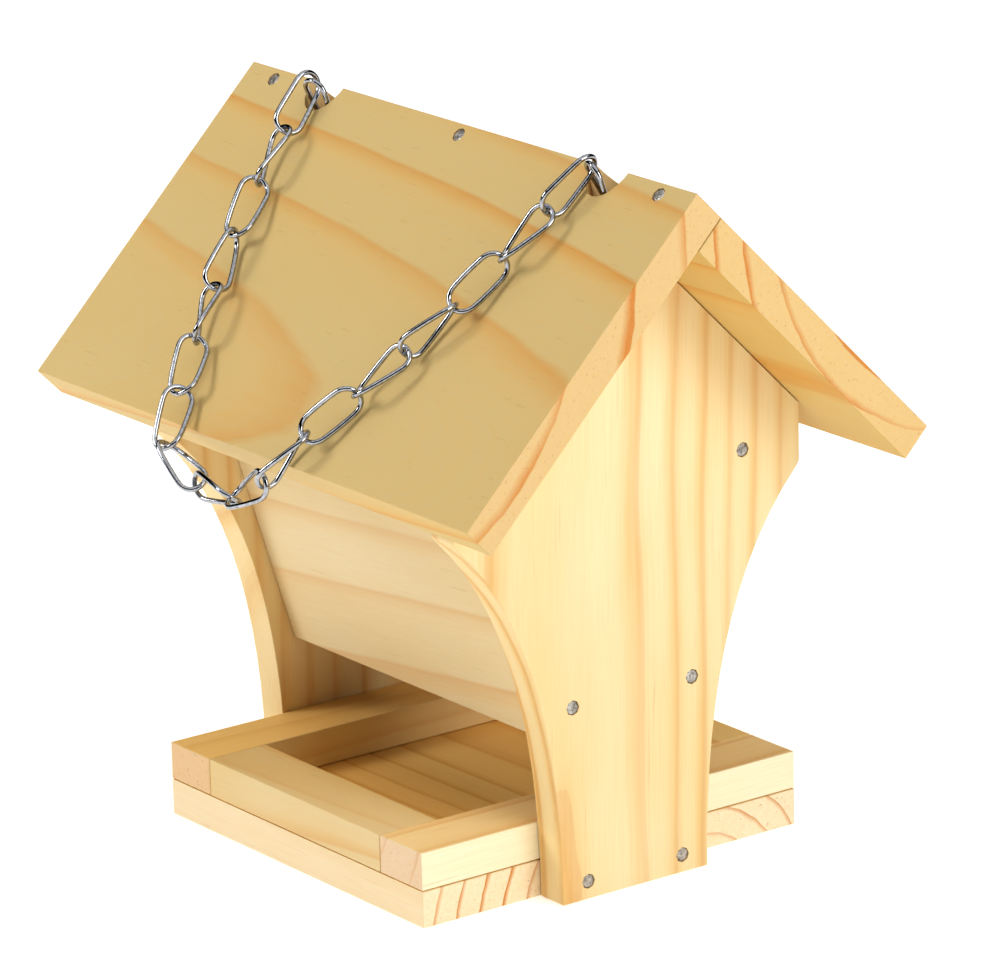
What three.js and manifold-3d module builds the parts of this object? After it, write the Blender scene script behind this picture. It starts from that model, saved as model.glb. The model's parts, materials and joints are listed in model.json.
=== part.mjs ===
// A hanging wooden bird feeder: a railed tray, two waisted end panels, two leaning hopper boards
// and a gable roof, held up by a twisted chain that is stapled to the tops of the end panels.
// Millimetres. X runs along the ridge, -Y is the front slope, Z is up, and z = 0 is the underside.
import * as THREE from 'three';
import { mergeVertices } from 'three/addons/utils/BufferGeometryUtils.js';
import Module from 'manifold-3d';

const wasm = await Module();
wasm.setup();

const X_AXIS = new THREE.Vector3(1, 0, 0);
const Y_AXIS = new THREE.Vector3(0, 1, 0);
const Z_AXIS = new THREE.Vector3(0, 0, 1);
const toRadians = THREE.MathUtils.degToRad;

// ---- driving sizes ----

const GAP = 0.3; // clearance between pieces that touch

const base = { length: 138, width: 148, thick: 12 };
const rail = { wide: 22, high: 12.7 };
const panel = {
  thick: 12,
  foot: 28.7, // half widths of the outline
  shoulder: 67.6,
  corner: 66.8, // where the sweep ends and rounds into the shoulder
  cornerHeight: 124.8,
  shoulderHeight: 127,
  apex: 3.5,
};
const hopper = { thick: 10, lean: 17.2, foot: 23.5, height: 48.4, chamfer: 1.6 };
const roof = { length: 233.6, thick: 12.7, ridge: 231, frontSlope: 125.5, backSlope: 114.4, pitch: 45 };
const ridgeHole = { radius: 8.5, x: 74.6, y: 1 };
const nail = { headRadius: 2.2, headThick: 1, shankRadius: 0.9, point: 2, inset: 0.1 };
const nailLength = { frame: 25, rail: 20 };
const wire = { diameter: 1.7, gap: 0.25 };
const link = { length: 22.3, halfWidth: 4.6 }; // along the centre of the wire
const staple = { wireRadius: 0.8, halfWidth: 2.4, legDepth: 14 };

const panelInner = base.length / 2 + GAP;
const panelOuter = base.length / 2 + panel.thick;
const railFloor = base.thick + GAP;
const railTop = base.thick + rail.high;
// The underside of the roof, at y = 0, as a height.
const roofUnderside = roof.ridge - roof.thick / Math.cos(toRadians(roof.pitch));
const panelPeak = roofUnderside - GAP / Math.cos(toRadians(roof.pitch));

// ---- materials ----

const finishes = {
  panel: { color: 0xf3dfae, roughness: 0.62, metalness: 0 },
  roof: { color: 0xd9bd84, roughness: 0.68, metalness: 0 },
  tray: { color: 0xe2c592, roughness: 0.66, metalness: 0 },
  hopper: { color: 0xdcbd8c, roughness: 0.66, metalness: 0 },
  nail: { color: 0x8d8b86, roughness: 0.45, metalness: 1 },
  chain: { color: 0xd9dce0, roughness: 0.12, metalness: 1 },
};

// ---- solids ----

function solidOf(geometry) {
  const bare = geometry.clone();
  bare.deleteAttribute('normal');
  bare.deleteAttribute('uv');
  const merged = mergeVertices(bare, 1e-4);
  const mesh = new wasm.Mesh({
    numProp: 3,
    vertProperties: new Float32Array(merged.attributes.position.array),
    triVerts: new Uint32Array(merged.index.array),
  });
  return new wasm.Manifold(mesh);
}

function geometryOf(solid) {
  const mesh = solid.getMesh();
  const geometry = new THREE.BufferGeometry();
  geometry.setAttribute('position', new THREE.BufferAttribute(mesh.vertProperties, 3));
  geometry.setIndex(new THREE.BufferAttribute(mesh.triVerts, 1));
  geometry.computeVertexNormals();
  return geometry;
}

// Cuts holes out of a piece. The holes lie in the whole feeder's frame, and the piece in its own.
function drilled(geometry, placement, holes) {
  const intoPiece = placement.clone().invert();
  let solid = solidOf(geometry);
  for (const hole of holes) {
    solid = solid.subtract(solidOf(hole.clone().applyMatrix4(intoPiece)));
  }
  return geometryOf(solid);
}

// Extrudes an outline drawn in (y, z) along X, centred on x = 0.
function prismAlongX(outline, length) {
  const geometry = new THREE.ExtrudeGeometry(outline, {
    depth: length,
    bevelEnabled: false,
    curveSegments: 14,
  });
  geometry.translate(0, 0, -length / 2);
  geometry.applyMatrix4(new THREE.Matrix4().makeBasis(Y_AXIS, Z_AXIS, X_AXIS));
  return geometry;
}

function postAlongZ(radius, height, sides) {
  return new THREE.CylinderGeometry(radius, radius, height, sides).rotateX(Math.PI / 2);
}

// Profiles are lists of [radius, height], from the bottom to the top.
function turnedAlongZ(profile, sides) {
  const points = profile.map(([radius, height]) => new THREE.Vector2(radius, height));
  return new THREE.LatheGeometry(points, sides).rotateX(Math.PI / 2);
}

// ---- placing ----

function placedAt(x, y, z, turnAboutX = 0) {
  const turn = new THREE.Quaternion().setFromAxisAngle(X_AXIS, turnAboutX);
  return new THREE.Matrix4().compose(new THREE.Vector3(x, y, z), turn, new THREE.Vector3(1, 1, 1));
}

function addPiece(group, name, geometry, finish, placement = new THREE.Matrix4()) {
  const mesh = new THREE.Mesh(geometry, new THREE.MeshStandardMaterial(finishes[finish]));
  mesh.name = name;
  mesh.applyMatrix4(placement);
  group.add(mesh);
  return mesh;
}

// ---- nails ----

const NAIL_SIDES = 8;

function nailGeometry(length) {
  const { headRadius, headThick, shankRadius, point } = nail;
  return turnedAlongZ(
    [
      [0, -length],
      [shankRadius, -length + point],
      [shankRadius, -headThick],
      [headRadius, -headThick],
      [headRadius, -0.3],
      [headRadius - 0.4, 0],
      [0, 0],
    ],
    NAIL_SIDES,
  );
}

// The room that a nail takes in the wood: a shank hole below a shallow recess for the head.
function nailHole(length) {
  const { headRadius, headThick, shankRadius } = nail;
  return turnedAlongZ(
    [
      [0, -length - GAP],
      [shankRadius + GAP, -length - GAP],
      [shankRadius + GAP, -headThick - GAP],
      [headRadius + GAP, -headThick - GAP],
      [headRadius + GAP, 1],
      [0, 1],
    ],
    NAIL_SIDES,
  );
}

// A nail driven into a face: its head is at the point, a little below the face.
function nailAt(name, point, outward, length = nailLength.frame) {
  const turn = new THREE.Quaternion().setFromUnitVectors(Z_AXIS, outward);
  const head = point.clone().addScaledVector(outward, -nail.inset);
  const placement = new THREE.Matrix4().compose(head, turn, new THREE.Vector3(1, 1, 1));
  return { name, placement, length, hole: nailHole(length).applyMatrix4(placement) };
}

function addNails(group, nails) {
  for (const { name, placement, length } of nails) {
    addPiece(group, name, nailGeometry(length), 'nail', placement);
  }
}

// Each panel has six nails: low into the base, then two pairs into the hopper boards.
const panelNailRows = [
  { row: 'base', y: 18.7, z: 5.8 },
  { row: 'low', y: 23.5, z: 64 },
  { row: 'high', y: 44.8, z: 134 },
];

function panelNails(end) {
  const outward = new THREE.Vector3(end.side, 0, 0);
  const nails = [];
  for (const { row, y, z } of panelNailRows) {
    for (const [face, sideY] of [['front', -1], ['back', 1]]) {
      const point = new THREE.Vector3(end.side * panelOuter, sideY * y, z);
      nails.push(nailAt(`nail_${row}_${face}_${end.name}`, point, outward));
    }
  }
  return nails;
}

const ends = [
  { name: 'near', side: 1 },
  { name: 'far', side: -1 },
];
for (const end of ends) {
  end.nails = panelNails(end);
}

// The rails are nailed from below, through the base.
const railNailSpots = [
  { rail: 'end', x: 58, y: 58 },
  { rail: 'side', x: 28, y: 63 },
];
const railNails = [];
for (const spot of railNailSpots) {
  for (const [endName, sideX] of [['near', 1], ['far', -1]]) {
    for (const [face, sideY] of [['front', -1], ['back', 1]]) {
      const point = new THREE.Vector3(sideX * spot.x, sideY * spot.y, 0);
      const name = `nail_${spot.rail}_rail_${face}_${endName}`;
      railNails.push(nailAt(name, point, Z_AXIS.clone().negate(), nailLength.rail));
    }
  }
}

// The front roof board is nailed down into the end of the back one, along the ridge.
const frontNormal = new THREE.Vector3(0, -1, 1).normalize();
const frontDown = new THREE.Vector3(0, -1, -1).normalize();
const ridgeTop = new THREE.Vector3(0, 0, roof.ridge);
const ridgeNailSpacing = 101.5;
const ridgeNailInset = 4;
const ridgeNails = [['far', -1], ['middle', 0], ['near', 1]].map(([place, step]) => {
  const point = ridgeTop.clone().addScaledVector(frontDown, ridgeNailInset);
  point.x = step * ridgeNailSpacing;
  return nailAt(`nail_ridge_${place}`, point, frontNormal);
});

const holesOf = (nails) => nails.map((each) => each.hole);

// ---- chain ----

const WIRE_SIDES = 6;
const LINK_STEPS = 32;
const linkPitch = link.length - wire.diameter - wire.gap;

// The wire of one link: a loop with straight sides and round ends, twisted along its length.
// It runs along local Z, and its width lies along local X where the turn is zero.
class LinkWire extends THREE.Curve {
  constructor(roll, twist) {
    super();
    this.roll = roll;
    this.twist = twist;
  }

  getPoint(t, target = new THREE.Vector3()) {
    const width = link.halfWidth;
    const reach = link.length / 2 - width;
    const straight = 2 * reach;
    const arc = Math.PI * width;
    const half = straight + arc;
    const travelled = (t * 2 * half) % (2 * half);
    const onReturn = travelled >= half ? -1 : 1;
    const step = travelled % half;
    const turn = Math.max(0, step - straight) / width;
    const along = onReturn * (Math.min(step, straight) - reach + width * Math.sin(turn));
    const across = onReturn * width * Math.cos(turn);
    const angle = this.roll + (this.twist * along) / link.length;
    return target.set(across * Math.cos(angle), across * Math.sin(angle), along);
  }
}

// A link between two points. Its width is turned by roll from the direction square to facing.
function linkBetween(name, from, to, facing, rollDegrees, twistDegrees) {
  const along = to.clone().sub(from).normalize();
  const face = facing.clone().addScaledVector(along, -facing.dot(along)).normalize();
  const across = face.clone().cross(along);
  const placement = new THREE.Matrix4().makeBasis(across, face, along);
  placement.setPosition(from.clone().add(to).multiplyScalar(0.5));
  const curve = new LinkWire(toRadians(rollDegrees), toRadians(twistDegrees));
  return { name, placement, curve };
}

function addLinks(group, links) {
  for (const { name, placement, curve } of links) {
    const geometry = new THREE.TubeGeometry(curve, LINK_STEPS, wire.diameter / 2, WIRE_SIDES, true);
    addPiece(group, name, geometry, 'chain', placement);
  }
}

// A point on the front slope: x along the ridge, down from the ridge, and out from the face.
function slopePoint(x, down, out) {
  const point = ridgeTop.clone().addScaledVector(frontDown, down).addScaledVector(frontNormal, out);
  point.x = x;
  return point;
}

// Each leg of the chain comes out of its ridge hole, lies down the slope in a slow bend towards
// the middle, and drops over the eave. Three links hang between the two legs.
const leg = {
  links: 6,
  out: 6.3, // the middle of the wire lies this far off the slope
  down: 3,
  eaveDrop: 50,
  eavePitch: 19.3,
  rollStep: 120,
  twist: 60,
  hookTwist: 30,
};
// Angles are in degrees. A heading is measured from straight down the slope, and bends a little
// more at each link.
const layouts = {
  near: {
    x: 72.5,
    heading: 11.5,
    bend: 3.3,
    inward: 18,
    roll: 67,
    hookRoll: 82,
    eaveTurn: -15,
    holeRoll: -10,
  },
  far: {
    x: -74.5,
    heading: 10,
    bend: 3.5,
    inward: 22.6,
    roll: 90,
    hookRoll: 105,
    eaveTurn: 60,
    holeRoll: 10,
  },
};
const loop = { links: 3, pitch: 19.4, roll: 90 };

function legPoints({ name, side }) {
  const layout = layouts[name];
  const start = slopePoint(layout.x, leg.down, leg.out);
  const step = new THREE.Vector3();
  const heading = (degrees) => {
    const angle = toRadians(degrees);
    return step.copy(frontDown).multiplyScalar(Math.cos(angle)).setX(-side * Math.sin(angle));
  };
  const points = [start.addScaledVector(heading(layout.heading), -(wire.diameter + wire.gap) / 2)];
  for (let i = 0; i < leg.links; i += 1) {
    const next = points[i].clone().addScaledVector(heading(layout.heading + layout.bend * i), linkPitch);
    points.push(next);
  }
  const drop = toRadians(leg.eaveDrop);
  const inward = toRadians(layout.inward);
  const overEave = new THREE.Vector3(
    -side * Math.sin(inward),
    -Math.cos(inward) * Math.cos(drop),
    -Math.cos(inward) * Math.sin(drop),
  );
  points.push(points[leg.links].clone().addScaledVector(overEave, leg.eavePitch));
  return points;
}

function legLinks(end, points) {
  const layout = layouts[end.name];
  const links = [];
  for (let i = 0; i < leg.links; i += 1) {
    const roll = i === 0 ? layout.hookRoll : layout.roll + leg.rollStep * i;
    const twist = i === 0 ? leg.hookTwist : leg.twist;
    const name = `chain_link_${end.name}_${i + 1}`;
    links.push(linkBetween(name, points[i], points[i + 1], frontNormal, roll, twist));
  }
  const eaveRoll = layout.roll + leg.rollStep * leg.links + layout.eaveTurn;
  const [before, after] = [points[leg.links], points[leg.links + 1]];
  links.push(
    linkBetween(`chain_link_${end.name}_eave`, before, after, frontNormal, eaveRoll, leg.twist),
  );
  return links;
}

// The link that stands in the ridge hole, from the staple up to the first link of the leg.
const holeLinkTwist = 30;
const holeLinkHook = 2.2; // between the two wires that hook together
const stapleY = 2;

function holeLink(end, points) {
  const legStart = points[1].clone().sub(points[0]).normalize();
  const wireOverlap = (link.length - linkPitch) / 2;
  const top = points[0].clone().addScaledVector(legStart, holeLinkHook - wireOverlap);
  const bottom = new THREE.Vector3(end.side * ridgeHole.x, stapleY, 0);
  const sideways = Math.hypot(top.x - bottom.x, top.y - bottom.y);
  bottom.z = top.z - Math.sqrt(link.length ** 2 - sideways ** 2);
  const facing = top.clone().sub(bottom).cross(X_AXIS);
  const roll = layouts[end.name].holeRoll - holeLinkTwist / 2;
  const made = linkBetween(`chain_link_${end.name}_hole`, bottom, top, facing, roll, holeLinkTwist);
  return { ...made, bottom };
}

for (const end of ends) {
  end.points = legPoints(end);
  end.links = legLinks(end, end.points);
  end.holeLink = holeLink(end, end.points);
}

// The three links between the legs hang in an upright plane, as a shallow trough.
function loopLinks() {
  const right = ends[0].points[leg.links + 1];
  const left = ends[1].points[leg.links + 1];
  const span = right.distanceTo(left);
  const across = right.clone().sub(left).normalize();
  const slope = Math.acos((span - loop.pitch) / (2 * loop.pitch));
  const inward = across.clone().multiplyScalar(loop.pitch * Math.cos(slope));
  const drop = new THREE.Vector3(0, 0, -loop.pitch * Math.sin(slope));
  const points = [left, left.clone().add(inward).add(drop), right.clone().sub(inward).add(drop), right];
  const links = [];
  for (let i = 0; i < loop.links; i += 1) {
    const roll = loop.roll + leg.rollStep * i;
    const name = `chain_link_loop_${i + 1}`;
    links.push(
      linkBetween(name, points[i], points[i + 1], Y_AXIS.clone().negate(), roll, leg.twist),
    );
  }
  return links;
}

// ---- staples ----

// The wire of a staple: up one leg, over a round crown and down the other.
class StapleWire extends THREE.Curve {
  getPoint(t, target = new THREE.Vector3()) {
    const { halfWidth, legDepth } = staple;
    const arc = Math.PI * halfWidth;
    const travelled = t * (2 * legDepth + arc);
    const onArc = THREE.MathUtils.clamp(travelled - legDepth, 0, arc) / halfWidth;
    const upLeg = Math.min(travelled, legDepth) - legDepth;
    const downLeg = Math.max(0, travelled - legDepth - arc);
    const height = upLeg + halfWidth * Math.sin(onArc) - downLeg;
    return target.set(-halfWidth * Math.cos(onArc), 0, height);
  }
}

function roundSection(radius, sides) {
  const section = new THREE.Shape();
  for (let i = 0; i < sides; i += 1) {
    const angle = (2 * Math.PI * i) / sides;
    const [x, y] = [radius * Math.cos(angle), radius * Math.sin(angle)];
    if (i === 0) {
      section.moveTo(x, y);
    } else {
      section.lineTo(x, y);
    }
  }
  return section;
}

// The crown stands square across the bottom of the hole link, with a little room under it.
function placeStaple(end) {
  const { placement, curve, bottom } = end.holeLink;
  const angle = curve.roll - curve.twist / 2;
  const across = new THREE.Vector3(Math.cos(angle), Math.sin(angle), 0).transformDirection(placement);
  const crown = Z_AXIS.clone().cross(across).normalize();
  const depth = Z_AXIS.clone().cross(crown);
  const crownHeight = bottom.z + wire.diameter / 2 + staple.wireRadius + wire.gap;
  const seat = new THREE.Matrix4().makeBasis(crown, depth, Z_AXIS);
  seat.setPosition(bottom.x, bottom.y, crownHeight - staple.halfWidth);
  return seat;
}

function stapleGeometry() {
  return new THREE.ExtrudeGeometry(roundSection(staple.wireRadius, WIRE_SIDES), {
    steps: 24,
    extrudePath: new StapleWire(),
    bevelEnabled: false,
  });
}

function stapleHoles(seat) {
  return [-1, 1].map((side) => {
    const post = postAlongZ(staple.wireRadius + GAP, staple.legDepth + GAP + 4, 8);
    post.translate(side * staple.halfWidth, 0, 2 - (staple.legDepth + GAP) / 2);
    return post.applyMatrix4(seat);
  });
}

for (const end of ends) {
  end.seat = placeStaple(end);
}

// ---- tray ----

function addTray(group) {
  const floor = new THREE.BoxGeometry(base.length, base.width, base.thick);
  const floorPlace = placedAt(0, 0, base.thick / 2);
  const floorNails = [...railNails, ...ends[0].nails, ...ends[1].nails];
  addPiece(group, 'base_board', drilled(floor, floorPlace, holesOf(floorNails)), 'tray', floorPlace);

  const railHeight = railTop - railFloor;
  const railMiddle = (railTop + railFloor) / 2;
  for (const end of ends) {
    const place = placedAt(end.side * (base.length - rail.wide) / 2, 0, railMiddle);
    const bar = new THREE.BoxGeometry(rail.wide, base.width, railHeight);
    addPiece(group, `end_rail_${end.name}`, drilled(bar, place, holesOf(railNails)), 'tray', place);
  }
  const sideLength = base.length - 2 * rail.wide - 2 * GAP;
  for (const [face, side] of [['front', -1], ['back', 1]]) {
    const place = placedAt(0, side * (base.width - rail.wide) / 2, railMiddle);
    const bar = new THREE.BoxGeometry(sideLength, rail.wide, railHeight);
    addPiece(group, `side_rail_${face}`, drilled(bar, place, holesOf(railNails)), 'tray', place);
  }
  addNails(group, railNails);
}

// ---- end panels ----

// A narrow foot that sweeps out to wide shoulders, then slopes in under the roof.
function panelOutline() {
  const { foot, corner, cornerHeight, shoulder, shoulderHeight, apex } = panel;
  const waistPull = 50.8;
  const cornerPull = 29;
  const roundTo = cornerHeight + shoulder - corner;
  const slopeStart = panelPeak - shoulder;
  const top = panelPeak - apex;
  const shape = new THREE.Shape();
  shape.moveTo(foot, 0);
  shape.bezierCurveTo(
    foot, waistPull,
    corner - cornerPull, cornerHeight - cornerPull,
    corner, cornerHeight,
  );
  shape.quadraticCurveTo(shoulder, roundTo, shoulder, shoulderHeight);
  shape.lineTo(shoulder, slopeStart);
  shape.lineTo(apex, top);
  shape.lineTo(-apex, top);
  shape.lineTo(-shoulder, slopeStart);
  shape.lineTo(-shoulder, shoulderHeight);
  shape.quadraticCurveTo(-shoulder, roundTo, -corner, cornerHeight);
  shape.bezierCurveTo(
    -(corner - cornerPull), cornerHeight - cornerPull,
    -foot, waistPull,
    -foot, 0,
  );
  shape.lineTo(foot, 0);
  return shape;
}

function addPanel(group, end) {
  const place = placedAt(end.side * (panelInner + panelOuter) / 2, 0, 0);
  const board = prismAlongX(panelOutline(), panelOuter - panelInner);
  const holes = [...holesOf(end.nails), ...stapleHoles(end.seat)];
  addPiece(group, `end_panel_${end.name}`, drilled(board, place, holes), 'panel', place);
  addNails(group, end.nails);
  addPiece(group, `staple_${end.name}`, stapleGeometry(), 'nail', end.seat);
}

// ---- hopper boards ----

// A section through a hopper board: local Z runs up the board, and its outer face is at y = 0.
function hopperOutline(side) {
  const { thick, lean, foot, height, chamfer } = hopper;
  const slant = toRadians(lean);
  // Up the board, this is where its outer edge would meet the underside of the roof.
  const reach = (roofUnderside - height - foot) / (Math.cos(slant) + Math.sin(slant));
  const top = reach - 2 * GAP;
  const shape = new THREE.Shape();
  const corners = [[-chamfer, 0], [0, chamfer], [0, top], [-thick, top], [-thick, 0]];
  corners.forEach(([y, z], i) => (i === 0 ? shape.moveTo(side * y, z) : shape.lineTo(side * y, z)));
  return shape;
}

function addHopperBoards(group) {
  const nails = [...ends[0].nails, ...ends[1].nails];
  for (const [face, side] of [['front', -1], ['back', 1]]) {
    const place = placedAt(0, side * hopper.foot, hopper.height, -side * toRadians(hopper.lean));
    const board = prismAlongX(hopperOutline(side), 2 * panelInner - 2 * GAP);
    addPiece(group, `hopper_board_${face}`, drilled(board, place, holesOf(nails)), 'hopper', place);
  }
}

// ---- roof ----

function addRoof(group) {
  const pitch = toRadians(roof.pitch);
  const holes = ends.map((end) => {
    const hole = postAlongZ(ridgeHole.radius, 80, 24);
    return hole.translate(end.side * ridgeHole.x, ridgeHole.y, roof.ridge - 10);
  });
  holes.push(...holesOf(ridgeNails));

  // The front board runs over the end of the back one, so its top edge shows at the ridge.
  const front = new THREE.BoxGeometry(roof.length, roof.frontSlope, roof.thick);
  front.translate(0, -roof.frontSlope / 2, -roof.thick / 2);
  const frontPlace = placedAt(0, 0, roof.ridge, pitch);
  addPiece(group, 'roof_board_front', drilled(front, frontPlace, holes), 'roof', frontPlace);

  const back = new THREE.BoxGeometry(roof.length, roof.backSlope, roof.thick);
  back.translate(0, roof.thick + GAP + roof.backSlope / 2, -roof.thick / 2);
  const backPlace = placedAt(0, 0, roof.ridge, -pitch);
  addPiece(group, 'roof_board_back', drilled(back, backPlace, holes), 'roof', backPlace);

  addNails(group, ridgeNails);
  addLinks(group, ends.map((end) => end.holeLink));
}

// ---- the whole feeder ----

const birdFeeder = new THREE.Group();
const feederGroup = new THREE.Group();
const roofGroup = new THREE.Group();
const chainGroup = new THREE.Group();
const loopGroup = new THREE.Group();
chainGroup.add(loopGroup);
roofGroup.add(chainGroup);
birdFeeder.add(feederGroup, roofGroup);

addTray(feederGroup);
for (const end of ends) {
  addPanel(feederGroup, end);
  addLinks(chainGroup, end.links);
}
addHopperBoards(feederGroup);
addRoof(roofGroup);
addLinks(loopGroup, loopLinks());

export default birdFeeder;
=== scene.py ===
# The looks of the hanging bird feeder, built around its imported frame. Metres, Z up.
import json
import math

import bmesh
import bpy
from mathutils import Matrix, Vector


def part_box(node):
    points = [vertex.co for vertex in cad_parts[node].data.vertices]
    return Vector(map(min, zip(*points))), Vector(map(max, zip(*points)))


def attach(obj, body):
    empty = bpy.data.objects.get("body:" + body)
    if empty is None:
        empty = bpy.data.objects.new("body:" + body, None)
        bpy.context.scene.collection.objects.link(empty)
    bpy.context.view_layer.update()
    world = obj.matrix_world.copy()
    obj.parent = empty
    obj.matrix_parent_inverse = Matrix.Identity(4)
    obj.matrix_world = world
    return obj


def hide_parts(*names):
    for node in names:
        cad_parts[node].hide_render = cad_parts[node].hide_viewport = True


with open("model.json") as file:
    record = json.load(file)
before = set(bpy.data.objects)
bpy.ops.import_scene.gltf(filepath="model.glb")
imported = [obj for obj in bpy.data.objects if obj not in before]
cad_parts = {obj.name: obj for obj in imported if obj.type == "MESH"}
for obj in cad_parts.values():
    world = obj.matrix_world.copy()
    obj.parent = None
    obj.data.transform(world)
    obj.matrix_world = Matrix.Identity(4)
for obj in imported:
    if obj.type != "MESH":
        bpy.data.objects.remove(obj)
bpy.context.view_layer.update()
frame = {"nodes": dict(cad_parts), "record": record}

NODES = frame["nodes"]
BODIES = frame["record"]["behaviour"]["bodies"]
BODY_OF = {node: body for body, members in BODIES.items() for node in members}
MM = 0.001

# ---- places taken from the frame ----

ROOF_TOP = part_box("roof_board_front")[1][2]
RIDGE = Vector((0, 0, ROOF_TOP))
FRONT_NORMAL = Vector((0, -1, 1)).normalized()
FRONT_DOWN = Vector((0, -1, -1)).normalized()
BACK_NORMAL = Vector((0, 1, 1)).normalized()
BACK_DOWN = Vector((0, 1, -1)).normalized()
ALONG_X = Vector((1, 0, 0))
ALONG_Y = Vector((0, 1, 0))
ALONG_Z = Vector((0, 0, 1))


# ---- shader helpers ----


def linear(red, green, blue):
    """A colour picked as 0 to 255 sRGB values, as the linear colour that a shader takes."""
    channels = []
    for value in (red, green, blue):
        share = value / 255
        channels.append(share / 12.92 if share <= 0.04045 else ((share + 0.055) / 1.055) ** 2.4)
    return (*channels, 1.0)


def fill_ramp(node, stops):
    """Sets a colour ramp's stops. Each is a position and how light it is there."""
    elements = node.color_ramp.elements
    while len(elements) < len(stops):
        elements.new(1.0)
    for element, (position, level) in zip(elements, stops):
        element.position = position
        element.color = (level, level, level, 1)


# Where the mix node keeps its colour sockets, which share their names with its other kinds.
MIX_FIRST = 6
MIX_SECOND = 7
MIX_RESULT = 2


class Graph:
    """A small builder for a material's nodes."""

    def __init__(self, name):
        self.material = bpy.data.materials.new(name)
        self.material.use_nodes = True
        self.tree = self.material.node_tree
        self.shader = self.tree.nodes["Principled BSDF"]

    def put(self, socket, value):
        """Links a socket's value, or sets it where it is a constant."""
        if isinstance(value, bpy.types.NodeSocket):
            self.tree.links.new(value, socket)
        else:
            socket.default_value = value

    def shade(self, **inputs):
        """Sets the shader's inputs, with _ for each space in a name."""
        for name, value in inputs.items():
            self.put(self.shader.inputs[name.replace("_", " ")], value)

    def node(self, kind, inputs, **settings):
        made = self.tree.nodes.new(kind)
        for key, value in settings.items():
            setattr(made, key, value)
        for key, value in inputs.items():
            self.put(made.inputs[key], value)
        return made

    def coordinates(self, kind):
        return self.node("ShaderNodeTexCoord", {}).outputs[kind]

    def math(self, operation, *values):
        return self.node("ShaderNodeMath", dict(enumerate(values)), operation=operation).outputs[0]

    def multiply(self, first, second):
        return self.math("MULTIPLY", first, second)

    def vector(self, operation, *values):
        made = self.node("ShaderNodeVectorMath", dict(enumerate(values)), operation=operation)
        return made.outputs["Value" if operation in ("LENGTH", "DOT_PRODUCT") else "Vector"]

    def stretch(self, place, x, y, z):
        """Coordinates scaled along each axis. A small scale draws a pattern out along that axis."""
        return self.vector("MULTIPLY", place, (x, y, z))

    def noise(self, place, scale, detail=2.0, roughness=0.5, output="Fac"):
        """Noise with about this many lumps in a metre."""
        inputs = {"Vector": place, "Scale": scale, "Detail": detail, "Roughness": roughness}
        return self.node("ShaderNodeTexNoise", inputs).outputs[output]

    def ramp(self, value, stops):
        made = self.node("ShaderNodeValToRGB", {"Fac": value})
        fill_ramp(made, stops)
        return made.outputs["Color"]

    def remap(self, value, low, high, to_low=0.0, to_high=1.0):
        inputs = {"Value": value, "From Min": low, "From Max": high, "To Min": to_low, "To Max": to_high}
        return self.node("ShaderNodeMapRange", inputs).outputs["Result"]

    def mix(self, share, first, second):
        """The first colour at a share of 0 and the second at 1."""
        made = self.tree.nodes.new("ShaderNodeMix")
        made.data_type = "RGBA"
        self.put(made.inputs["Factor"], share)
        self.put(made.inputs[MIX_FIRST], first)
        self.put(made.inputs[MIX_SECOND], second)
        return made.outputs[MIX_RESULT]

    def bump(self, height, distance, strength):
        inputs = {"Height": height, "Distance": distance, "Strength": strength}
        return self.node("ShaderNodeBump", inputs).outputs["Normal"]


# ---- wood ----

EARLY_PALE = linear(245, 228, 184)
EARLY_TAN = linear(238, 206, 138)
LATE_ORANGE = linear(229, 178, 92)
LATE_DEEP = linear(214, 150, 66)
END_GRAIN = linear(246, 208, 164)
END_RING = linear(208, 134, 66)
PORE = linear(182, 124, 72)
# Tones that single boards lean to.
CREAM = linear(252, 243, 212)
STRAW = linear(208, 184, 128)
PALE_STRAW = linear(222, 212, 184)
AMBER = linear(206, 178, 108)
# Not a tone of the wood: painted warm shade for faces that look up, the orange of shade lit by bounce light.
TOP_SHADE_HONEY = linear(244, 200, 118)
BUFF = linear(206, 184, 142)
PEACH = linear(243, 226, 194)
# End grain that differs from END_GRAIN: pale on the base, darker on the roof, pinker on the rails.
PALE_END = linear(254, 236, 204)
ROOF_END = linear(230, 196, 146)
RAIL_END = linear(222, 182, 152)

# How a ring darkens from its start (0) to its end (1): with a crisp dark edge, or softly.
CRISP_RING = [(0.0, 0.10), (0.05, 0.0), (0.50, 0.04), (0.74, 0.26), (0.88, 0.72), (0.955, 1.0), (0.99, 0.30)]
SOFT_RING = [(0.0, 0.55), (0.14, 0.15), (0.35, 0.0), (0.56, 0.12), (0.76, 0.75), (0.88, 1.0), (1.0, 0.55)]

# How far the rings wander from true circles: in long waves, and in small ripples.
RING_WAVE = 12 * MM
RING_RIPPLE = 2.2 * MM


def log_space(graph, pith, grain):
    """Coordinates in the log that a board was cut from, with Z up the log and 0 at the pith."""
    turn = ALONG_Z.rotation_difference(Vector(grain).normalized()).to_euler()
    inputs = {
        "Vector": graph.coordinates("Object"),
        "Location": tuple(pith),
        "Rotation": tuple(turn),
    }
    return graph.node("ShaderNodeMapping", inputs, vector_type="TEXTURE").outputs["Vector"]


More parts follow.
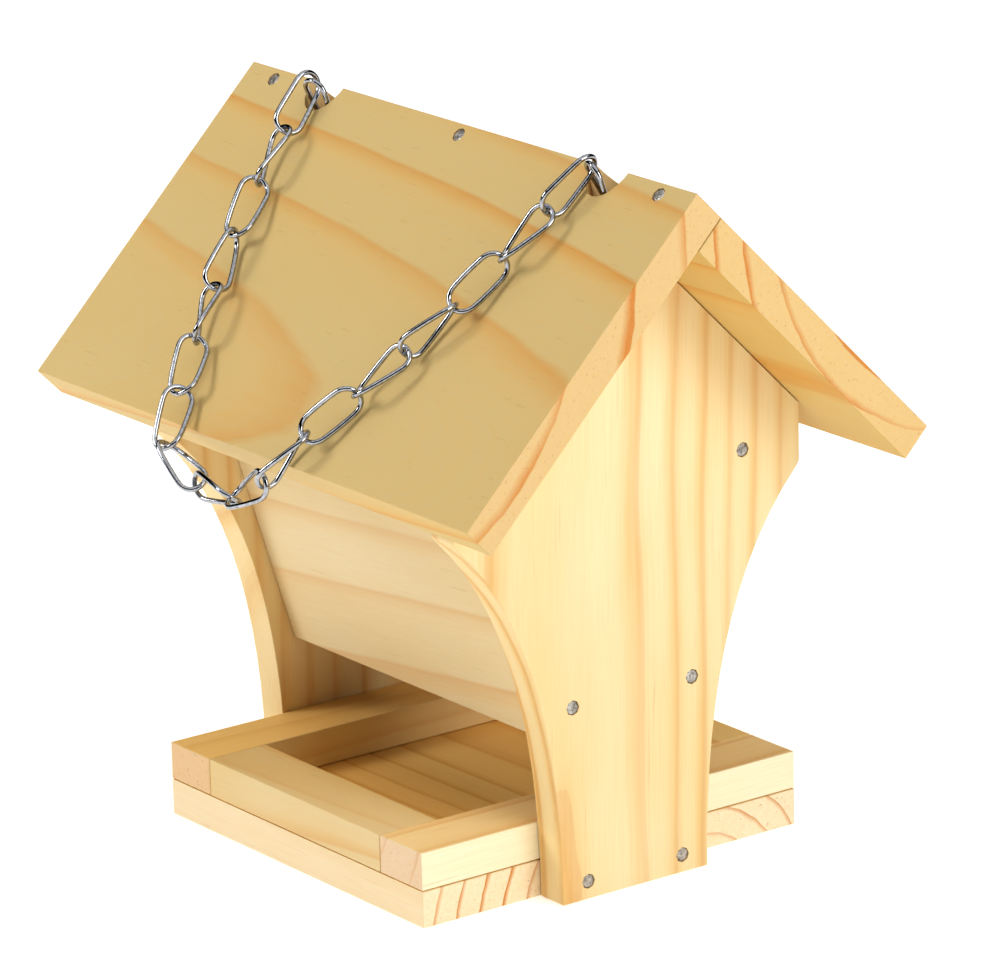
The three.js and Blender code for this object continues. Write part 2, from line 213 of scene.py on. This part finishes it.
def pith_distance(graph, log, seeded, wobble):
    """How far a point is from the pith, where the rings wander more across the log than along it."""
    slow = graph.noise(graph.stretch(seeded, 1, 1, 0.35), 16.0, 1.0, 0.4, "Color")
    fine = graph.noise(graph.stretch(seeded, 1, 1, 0.18), 90.0, 2.0, 0.5, "Color")
    middle = (0.5, 0.5, 0.5)
    wave = RING_WAVE * wobble
    wave = graph.stretch(graph.vector("SUBTRACT", slow, middle), wave, wave, 0)
    ripple = graph.stretch(graph.vector("SUBTRACT", fine, middle), RING_RIPPLE, RING_RIPPLE, 0)
    wandered = graph.vector("ADD", graph.vector("ADD", log, wave), ripple)
    return graph.vector("LENGTH", graph.stretch(wandered, 1, 1, 0))


def latewood_amount(graph, count, share, seeded, seed, ring):
    """How dark each ring's latewood is: by its profile, with some rings and some patches stronger."""
    which_ring = graph.math("ADD", graph.math("FLOOR", count), seed * 13.0)
    weight = graph.node("ShaderNodeTexWhiteNoise", {"W": which_ring}, noise_dimensions="1D")
    weight = graph.remap(weight.outputs["Value"], 0, 1, 0.55, 1.0)
    patch = graph.remap(graph.noise(graph.stretch(seeded, 1, 1, 0.2), 22.0, 2.0), 0.3, 0.7, 0.65, 1.1)
    return graph.multiply(graph.multiply(graph.ramp(share, ring), weight), patch)


def early_colour(graph, seeded, facing, pale, tone, toned, painted_top_shade):
    """The pale wood between the rings, leaning to the board's tone, with painted warm shade on faces that
    look up: a honey orange that stands in for bounce-lit shade.
    """
    tint = graph.noise(graph.stretch(seeded, 1, 1, 0.3), 30.0, 2.0)
    early = graph.mix(graph.remap(tint, 0.3, 0.7), EARLY_PALE, EARLY_TAN)
    early = graph.mix(toned, graph.mix(pale, EARLY_TAN, early), tone)
    upness = graph.vector("DOT_PRODUCT", facing, tuple(ALONG_Z))
    # Painted shade: faces that look up are pushed towards honey orange, standing in for warm bounce-lit
    # shade.
    return graph.mix(graph.remap(upness, 0.80, 0.95, 0.0, painted_top_shade), early, TOP_SHADE_HONEY)


def side_colour(graph, seeded, radius, share, latewood, late, fibre, early):
    """Wood cut along the log: rings, faint lines inside each ring, fibres and resin ducts."""
    inner = graph.remap(graph.noise(radius, 900.0, 2.0), 0.35, 0.7, 0.0, 0.10)
    streak = graph.noise(graph.stretch(seeded, 1, 1, 0.012), 420.0, 2.0, 0.5)
    dark = graph.mix(graph.remap(share, 0.75, 0.97), LATE_ORANGE, LATE_DEEP)
    amount = graph.multiply(graph.math("ADD", latewood, inner), late)
    amount = graph.multiply(amount, graph.remap(streak, 0.25, 0.75, 0.82, 1.12))
    side = graph.mix(amount, early, dark)
    side = graph.mix(graph.remap(fibre, 0.35, 0.75, 0.0, 0.16), side, LATE_ORANGE)
    # Resin ducts show as short dark dashes.
    duct = graph.noise(graph.stretch(seeded, 1, 1, 0.035), 1150.0, 0.0, 0.5)
    return graph.mix(graph.remap(duct, 0.78, 0.84, 0.0, 0.16), side, PORE)


def end_colour(graph, seeded, latewood, late, early, end_grain):
    """Wood cut across the log: rings, fine pores, saw mottle and dark specks."""
    inputs = {"Vector": seeded, "Scale": 1500.0}
    pores = graph.node("ShaderNodeTexVoronoi", inputs, feature="F1").outputs["Distance"]
    pores = graph.remap(pores, 0.10, 0.32, 0.30, 0.0)
    mottle = graph.remap(graph.noise(seeded, 700.0, 4.0, 0.7), 0.35, 0.75, 0.0, 0.28)
    speck = graph.remap(graph.noise(seeded, 1100.0, 1.0, 0.5), 0.68, 0.76, 0.0, 0.45)
    end_ring = graph.remap(graph.multiply(latewood, late), 0.26, 0.70)
    end = graph.mix(end_ring, graph.mix(0.6, early, end_grain), END_RING)
    end = graph.mix(graph.math("MAXIMUM", pores, mottle), end, LATE_ORANGE)
    return graph.mix(speck, end, PORE)


def wood(name, pith, grain, spacing, phase, seed, late=1.0, pale=1.0, wobble=1.0, ring=CRISP_RING,
         tone=CREAM, toned=0.0, painted_top_shade=0.0, end_grain=END_GRAIN):
    """Solid pine: rings around a pith line, cut by the board wherever it lies.

    A ring's dark edge is at phase, and at each whole spacing from it, away from the pith.
    """
    graph = Graph(name)
    log = log_space(graph, pith, grain)
    # Each board takes its noise from a different place.
    seeded = graph.vector("ADD", log, (seed * 1.7, seed * 0.9, seed * 2.3))
    radius = pith_distance(graph, log, seeded, wobble)
    count = graph.math("DIVIDE", graph.math("SUBTRACT", radius, phase), spacing)
    share = graph.math("FRACT", count)
    latewood = latewood_amount(graph, count, share, seeded, seed, ring)
    fibre = graph.noise(graph.stretch(seeded, 1, 1, 0.02), 1900.0, 3.0, 0.6)

    facing = graph.coordinates("Normal")
    across = graph.vector("DOT_PRODUCT", facing, tuple(Vector(grain).normalized()))
    cut = graph.remap(graph.math("ABSOLUTE", across), 0.80, 0.93)
    early = early_colour(graph, seeded, facing, pale, tone, toned, painted_top_shade)
    side = side_colour(graph, seeded, radius, share, latewood, late, fibre, early)
    end = end_colour(graph, seeded, latewood, late, early, end_grain)

    # Sawn ends are rougher than planed sides, and the hard latewood stands up a little.
    rough = graph.remap(fibre, 0.2, 0.8, 0.50, 0.66)
    rough = graph.math("ADD", rough, graph.multiply(cut, 0.16))
    relief = graph.math("ADD", graph.multiply(fibre, 0.55), graph.multiply(latewood, 0.5))
    saw = graph.multiply(graph.noise(seeded, 750.0, 3.0, 0.7), graph.multiply(cut, 3.0))
    normal = graph.bump(graph.math("ADD", relief, saw), 0.06 * MM, 0.8)
    graph.shade(Base_Color=graph.mix(cut, side, end), Roughness=rough, Normal=normal)
    graph.shade(Specular_IOR_Level=0.35)
    return graph.material


def on_front(down, above):
    """A point over the front slope: this far down from the ridge and this far out from it, in mm."""
    return RIDGE + FRONT_DOWN * (down * MM) + FRONT_NORMAL * (above * MM)


def on_back(down, above):
    """The same over the back slope."""
    return RIDGE + BACK_DOWN * (down * MM) + BACK_NORMAL * (above * MM)


def at(x, y, z):
    """A point in mm."""
    return Vector((x, y, z)) * MM


# One log for each board: where its pith runs, which way the grain goes, how far apart the rings are.
# late is how dark its rings are, pale how light the wood between them is, and wobble how far the rings
# wander. toned is how far the board leans to its tone, and painted_top_shade how much painted warm shade its
# up-facing faces get.
LOGS = {
    "roof_board_front": dict(
        pith=on_front(107, 68.6), grain=ALONG_X + FRONT_NORMAL * 0.115, spacing=19.7 * MM,
        phase=11.4 * MM, seed=3.0, late=0.9, pale=0.5, wobble=0.35, tone=STRAW, toned=0.85,
        end_grain=ROOF_END,
    ),
    "roof_board_back": dict(
        pith=on_back(87, 69), grain=ALONG_X, spacing=11.5 * MM,
        phase=1.4 * MM, seed=5.0, late=1.1, pale=0.45, wobble=0.15, tone=AMBER, toned=0.7,
        end_grain=ROOF_END,
    ),
    "end_panel_near": dict(
        pith=at(30, -30, 0), grain=ALONG_Z + ALONG_Y * 0.02, spacing=8.6 * MM,
        phase=7.9 * MM, seed=7.0, late=0.85, pale=1.0, wobble=1.0, ring=SOFT_RING, toned=0.3,
    ),
    "end_panel_far": dict(
        pith=at(-58, 20, 0), grain=ALONG_Z, spacing=9.5 * MM,
        phase=2.0 * MM, seed=9.0, late=0.8, pale=0.5, wobble=0.6, ring=SOFT_RING, tone=CREAM, toned=0.3,
    ),
    "hopper_board_front": dict(
        pith=at(0, -75, -10), grain=ALONG_X + ALONG_Z * 0.09, spacing=20.0 * MM,
        phase=3.0 * MM, seed=11.0, late=0.6, pale=0.8, wobble=0.4, tone=PALE_STRAW, toned=0.5,
    ),
    "hopper_board_back": dict(
        pith=at(0, 90, 0), grain=ALONG_X - ALONG_Z * 0.05, spacing=16.0 * MM,
        phase=6.0 * MM, seed=13.0, late=0.6, pale=0.6, wobble=0.5,
    ),
    "base_board": dict(
        pith=at(0, 32, -22), grain=ALONG_X + ALONG_Y * 0.02, spacing=8.7 * MM,
        phase=1.9 * MM, seed=15.0, late=0.9, pale=0.8, wobble=0.25, tone=PEACH, toned=0.85,
        painted_top_shade=0.9, end_grain=PALE_END,
    ),
    "end_rail_near": dict(
        pith=at(-20, 0, 60), grain=ALONG_Y + ALONG_Z * 0.03, spacing=15.0 * MM,
        phase=5.0 * MM, seed=17.0, late=0.5, pale=1.0, wobble=0.4, toned=0.9, painted_top_shade=0.55,
        end_grain=RAIL_END,
    ),
    "end_rail_far": dict(
        pith=at(-20, 0, 75), grain=ALONG_Y + ALONG_Z * 0.02, spacing=14.0 * MM,
        phase=8.0 * MM, seed=19.0, late=0.5, pale=0.7, wobble=0.4, painted_top_shade=0.7,
        end_grain=RAIL_END,
    ),
    "side_rail_front": dict(
        pith=at(0, -20, 70), grain=ALONG_X + ALONG_Z * 0.05, spacing=12.0 * MM,
        phase=7.0 * MM, seed=21.0, late=0.6, pale=0.9, wobble=0.4, tone=BUFF, toned=0.45,
    ),
    "side_rail_back": dict(
        pith=at(0, 20, -50), grain=ALONG_X, spacing=12.0 * MM,
        phase=2.0 * MM, seed=23.0, late=0.8, pale=0.5, wobble=0.4,
    ),
}


# ---- metal ----

PLATING = linear(188, 190, 195)
DULLED_PLATING = linear(146, 149, 155)
CLEAN_STEEL = linear(214, 210, 204)
GRIMY_STEEL = linear(132, 126, 119)
STEEL_PIT = linear(70, 62, 57)


def chrome():
    """Bright plating, with the faint draw marks and dulled spots of cheap chain."""
    graph = Graph("chain_chrome")
    place = graph.coordinates("Object")
    spots = graph.noise(place, 900.0, 3.0, 0.6)
    clouds = graph.noise(place, 160.0, 2.0, 0.5)
    colour = graph.mix(graph.remap(spots, 0.35, 0.7), PLATING, DULLED_PLATING)
    rough = graph.remap(clouds, 0.3, 0.7, 0.05, 0.14)
    normal = graph.bump(clouds, 0.02 * MM, 0.4)
    graph.shade(Base_Color=colour, Roughness=rough, Normal=normal, Metallic=1.0)
    return graph.material


def nail_steel():
    """Dull grey wire nail, pitted where the hammer met it."""
    graph = Graph("nail_steel")
    place = graph.coordinates("Object")
    pits = graph.noise(place, 1300.0, 3.0, 0.7)
    grime = graph.noise(place, 420.0, 4.0, 0.65)
    colour = graph.mix(graph.remap(grime, 0.35, 0.65), CLEAN_STEEL, GRIMY_STEEL)
    colour = graph.mix(graph.remap(pits, 0.56, 0.66, 0.0, 0.8), colour, STEEL_PIT)
    rough = graph.remap(grime, 0.3, 0.7, 0.26, 0.5)
    normal = graph.bump(pits, 0.3 * MM, 1.0)
    graph.shade(Base_Color=colour, Roughness=rough, Normal=normal, Metallic=0.85)
    return graph.material


CHROME = chrome()
NAIL_STEEL = nail_steel()


# ---- pieces ----

WELD = 0.002 * MM
HEAD_LEVEL = 0.01 * MM  # corners of a nail's head that are this level are its rim


def welded_copy(node):
    """A piece that starts from a CAD node's own mesh, with its split vertices joined again."""
    mesh = NODES[node].data.copy()
    piece = bpy.data.objects.new(f"look_{node}", mesh)
    bpy.context.collection.objects.link(piece)
    shape = bmesh.new()
    shape.from_mesh(mesh)
    bmesh.ops.remove_doubles(shape, verts=shape.verts, dist=WELD)
    return piece, shape


def settle(piece, node, material):
    """Gives a finished piece its material and its body, and hides the CAD node it stands for."""
    piece.data.materials.clear()
    piece.data.materials.append(material)
    for polygon in piece.data.polygons:
        polygon.use_smooth = True
    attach(piece, BODY_OF[node])
    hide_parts(node)


def outward_of(nail):
    """Which way a nail's head faces."""
    if nail.startswith("nail_ridge"):
        return FRONT_NORMAL
    if "_rail_" in nail:
        return -ALONG_Z
    return ALONG_X if nail.endswith("near") else -ALONG_X


def head_centre(nail):
    """The middle of a nail's head, from the vertices that stand out furthest."""
    outward = outward_of(nail)
    corners = [vertex.co for vertex in NODES[nail].data.vertices]
    top = max(corner.dot(outward) for corner in corners)
    rim = [corner for corner in corners if top - corner.dot(outward) < HEAD_LEVEL]
    low = Vector([min(corner[axis] for corner in rim) for axis in range(3)])
    high = Vector([max(corner[axis] for corner in rim) for axis in range(3)])
    return (low + high) / 2


NAILS = [node for node in NODES if node.startswith("nail_")]
NAIL_AXES = [(head_centre(nail), outward_of(nail)) for nail in NAILS]
STAPLES = ("staple_near", "staple_far")
LINKS = [node for node in NODES if node.startswith("chain_link_")]
HOLE_REACH = 3.2 * MM  # further from a nail's line than its hole's rim, and nearer than anything else


def in_nail_hole(point):
    """Whether a board's point is on a nail's hole, by its distance from the line of a nail."""
    for centre, outward in NAIL_AXES:
        offset = point - centre
        if (offset - outward * offset.dot(outward)).length < HOLE_REACH:
            return True
    return False


def in_staple_hole(point):
    """Whether a board's point is on the holes of a staple's legs: within a millimetre of its box."""
    for staple in STAPLES:
        low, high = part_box(staple)
        if all(low[axis] - MM < point[axis] < high[axis] + MM for axis in range(3)):
            return True
    return False


BOARD_EDGE = 0.35 * MM
SHORTEST_EDGE = 0.7 * MM  # shorter stretches of an outline would fold the eased edge over itself
FLAT = math.radians(0.5)
SHARP = math.radians(30)


def is_hole_rim(line):
    ends = [vertex.co for vertex in line.verts]
    return all(in_nail_hole(end) for end in ends) or all(in_staple_hole(end) for end in ends)


def board(node):
    """A sawn board with slightly eased edges. The nail holes keep their sharp rims."""
    piece, shape = welded_copy(node)
    outline = [vertex for vertex in shape.verts if not in_nail_hole(vertex.co)]
    outline = [vertex for vertex in outline if not in_staple_hole(vertex.co)]
    bmesh.ops.remove_doubles(shape, verts=outline, dist=SHORTEST_EDGE)
    bmesh.ops.dissolve_limit(shape, angle_limit=FLAT, verts=shape.verts, edges=shape.edges)
    weights = shape.edges.layers.float.new("bevel_weight_edge")
    for line in shape.edges:
        if len(line.link_faces) != 2 or line.calc_face_angle() < SHARP:
            continue
        rim = is_hole_rim(line)
        line[weights] = 0.0 if rim else 1.0
        line.smooth = not rim
    shape.to_mesh(piece.data)
    shape.free()
    bevel = piece.modifiers.new("eased edges", "BEVEL")
    bevel.width = BOARD_EDGE
    bevel.segments = 3
    bevel.limit_method = "WEIGHT"
    bevel.use_clamp_overlap = False
    # The large flat faces set the shading, so that the eased edges don't darken them.
    even = piece.modifiers.new("even shading", "WEIGHTED_NORMAL")
    even.keep_sharp = True
    even.weight = 100
    settle(piece, node, wood(f"pine_{node}", **LOGS[node]))


LINK_WIRE = 0.85 * MM
STAPLE_WIRE = 0.8 * MM
WIRE_SIDES = 6
# Two triangles that bend less than this along their shared line make one flat of the tube.
FLAT_BEND = math.radians(40)
FLAT_SKEW = math.radians(60)
# Subdividing a six-sided wire draws it in to this share of its radius, so it is first made fatter.
WIRE_SHRINK = (4 + 2 * math.cos(2 * math.pi / WIRE_SIDES)) / 6


def round_wire(node, radius, material):
    """A bent wire: the CAD's six-sided tube, fattened a little and then rounded."""
    piece, shape = welded_copy(node)
    bmesh.ops.join_triangles(
        shape, faces=shape.faces, angle_face_threshold=FLAT_BEND, angle_shape_threshold=FLAT_SKEW,
    )
    bmesh.ops.recalc_face_normals(shape, faces=shape.faces)
    shape.normal_update()
    growth = radius * (1 / WIRE_SHRINK - 1)
    for vertex in shape.verts:
        vertex.co += vertex.normal * growth
    shape.to_mesh(piece.data)
    shape.free()
    rounding = piece.modifiers.new("rounding", "SUBSURF")
    rounding.levels = 2
    rounding.render_levels = 2
    settle(piece, node, material)


NAIL_HEAD = 2.2 * MM  # radius
NAIL_SHANK = 0.9 * MM  # radius
HEAD_THICKNESS = 1.0 * MM
POINT_LENGTH = 2.4 * MM
NAIL_TURNS = 40


def nail_profile(depth):
    """A nail's outline as radius and height, from the middle of its head down to its point."""
    head, thick, shank = NAIL_HEAD, HEAD_THICKNESS, NAIL_SHANK
    crown = [(0.0, 0.0), (head * 0.55, -0.03 * MM), (head * 0.86, -0.08 * MM), (head * 0.97, -0.18 * MM)]
    rim = [(head, -0.36 * MM), (head, -thick * 0.85), (head * 0.94, -thick)]
    neck = [(shank * 1.25, -thick * 1.1), (shank, -thick * 1.6)]
    point = [(shank, -depth + POINT_LENGTH), (shank * 0.5, -depth + 1.0 * MM), (0.0, -depth)]
    return crown + rim + neck + point


def turned(profile, place):
    """A closed shape turned about Z from a profile that starts and ends on the axis, then placed."""
    shape = bmesh.new()
    rings = []
    for radius, height in profile:
        if radius == 0:
            rings.append([shape.verts.new(place @ Vector((0, 0, height)))])
            continue
        ring = []
        for step in range(NAIL_TURNS):
            angle = 2 * math.pi * step / NAIL_TURNS
            point = Vector((radius * math.cos(angle), radius * math.sin(angle), height))
            ring.append(shape.verts.new(place @ point))
        rings.append(ring)
    for upper, lower in zip(rings, rings[1:]):
        for step in range(NAIL_TURNS):
            following = (step + 1) % NAIL_TURNS
            corners = [upper[step % len(upper)], lower[step % len(lower)]]
            corners += [lower[following % len(lower)], upper[following % len(upper)]]
            # At either end the ring is one vertex, so its repeat is dropped and the face has three.
            shape.faces.new(list(dict.fromkeys(corners)))
    bmesh.ops.recalc_face_normals(shape, faces=shape.faces)
    return shape


def nail(node):
    """A wire nail: a barely domed head with a soft rim, a neck and a pointed shank."""
    outward = outward_of(node)
    centre = head_centre(node)
    depth = max((centre - vertex.co).dot(outward) for vertex in NODES[node].data.vertices)
    turn = ALONG_Z.rotation_difference(outward).to_matrix().to_4x4()
    shape = turned(nail_profile(depth), Matrix.Translation(centre) @ turn)
    mesh = bpy.data.meshes.new(f"look_{node}")
    shape.to_mesh(mesh)
    shape.free()
    piece = bpy.data.objects.new(f"look_{node}", mesh)
    bpy.context.collection.objects.link(piece)
    settle(piece, node, NAIL_STEEL)


# ---- camera ----

LENS = 234.8  # millimetres: a long view, so that lines keep almost parallel
DISTANCE = 2.0642
AZIMUTH = math.radians(53.63)  # round from the front slope towards the near panel
ELEVATION = math.radians(16.78)
ROLL = math.radians(-1.32)
TARGET = at(15.65, -1.32, 119.0)
VIEW_END = 50


def place_camera():
    """Puts the camera in its place, and gives the unrolled view's right, up and towards the camera."""
    data = bpy.data.cameras.new("camera")
    data.lens = LENS
    data.clip_end = VIEW_END
    camera = bpy.data.objects.new("camera", data)
    bpy.context.collection.objects.link(camera)
    back = Vector((
        math.sin(AZIMUTH) * math.cos(ELEVATION),
        -math.cos(AZIMUTH) * math.cos(ELEVATION),
        math.sin(ELEVATION),
    ))
    right = ALONG_Z.cross(back).normalized()
    up = back.cross(right)
    rolled_right = right * math.cos(ROLL) + up * math.sin(ROLL)
    rolled_up = up * math.cos(ROLL) - right * math.sin(ROLL)
    turn = Matrix((rolled_right, rolled_up, back)).transposed().to_4x4()
    camera.matrix_world = Matrix.Translation(TARGET + back * DISTANCE) @ turn
    bpy.context.scene.camera = camera
    return right, up, back


# ---- floor and light ----

FLOOR_HALF = 9.0
FLOOR_DROP = 0.2 * MM  # below the base, so that the two never share a plane
FLOOR_GLOW = 0.38  # keeps the paper white in the feeder's soft shadow
PAPER = linear(246, 246, 245)
PAPER_TOOTH = linear(250, 250, 249)
WHITE = (1, 1, 1, 1)


def pale_floor():
    graph = Graph("floor_paper")
    tooth = graph.noise(graph.coordinates("Object"), 900.0, 2.0)
    shade = graph.mix(graph.remap(tooth, 0.3, 0.7), PAPER, PAPER_TOOTH)
    graph.shade(Base_Color=shade, Roughness=0.9, Specular_IOR_Level=0.1)
    graph.shade(Emission_Color=WHITE, Emission_Strength=FLOOR_GLOW)
    mesh = bpy.data.meshes.new("floor")
    sides = [(-1, -1), (1, -1), (1, 1), (-1, 1)]
    corners = [(x * FLOOR_HALF, y * FLOOR_HALF, -FLOOR_DROP) for x, y in sides]
    mesh.from_pydata(corners, [], [(0, 1, 2, 3)])
    mesh.materials.append(graph.material)
    floor = bpy.data.objects.new("floor", mesh)
    bpy.context.collection.objects.link(floor)


# How light the world is, from the horizon and below (0) to straight overhead (1).
SKY = [(0.0, 0.22), (0.12, 0.18), (0.17, 0.0), (0.66, 0.0), (0.69, 1.0), (1.0, 1.0)]
SKY_STRENGTH = 0.85
WARM_WHITE = (1.0, 0.99, 0.97)


def soft_light(name, direction, distance, size, power):
    """A square softbox that faces the feeder. Distance and size are in metres, power in watts."""
    data = bpy.data.lights.new(name, "AREA")
    data.shape = "SQUARE"
    data.size = size
    data.energy = power
    data.color = WARM_WHITE
    light = bpy.data.objects.new(name, data)
    light.location = TARGET + direction.normalized() * distance
    light.rotation_euler = direction.to_track_quat("Z", "Y").to_euler()
    bpy.context.collection.objects.link(light)


def studio(right, up, back):
    """A bright ceiling, a dim horizon and two softboxes. The dark belt between gives chrome its darks."""
    world = bpy.data.worlds.new("studio")
    bpy.context.scene.world = world
    world.use_nodes = True
    tree = world.node_tree
    direction = tree.nodes.new("ShaderNodeTexCoord").outputs["Generated"]
    parts = tree.nodes.new("ShaderNodeSeparateXYZ")
    tree.links.new(direction, parts.inputs["Vector"])
    sky = tree.nodes.new("ShaderNodeValToRGB")
    fill_ramp(sky, SKY)
    tree.links.new(parts.outputs["Z"], sky.inputs["Fac"])
    background = tree.nodes["Background"]
    tree.links.new(sky.outputs["Color"], background.inputs["Color"])
    background.inputs["Strength"].default_value = SKY_STRENGTH
    soft_light("key", Vector((-0.42, -0.75, 0.5)), distance=1.6, size=0.6, power=9)
    soft_light("side", right * 0.75 + up * 0.25 + back * 0.75, distance=1.7, size=1.0, power=11.7)


right_of_view, up_of_view, towards_camera = place_camera()
pale_floor()
studio(right_of_view, up_of_view, towards_camera)
bpy.context.scene.view_settings.view_transform = "Standard"
bpy.context.scene.view_settings.look = "Medium High Contrast"

# ---- the feeder ----

for board_node in LOGS:
    board(board_node)
for nail_node in NAILS:
    nail(nail_node)
for staple_node in STAPLES:
    round_wire(staple_node, STAPLE_WIRE, NAIL_STEEL)
for link_node in LINKS:
    round_wire(link_node, LINK_WIRE, CHROME)
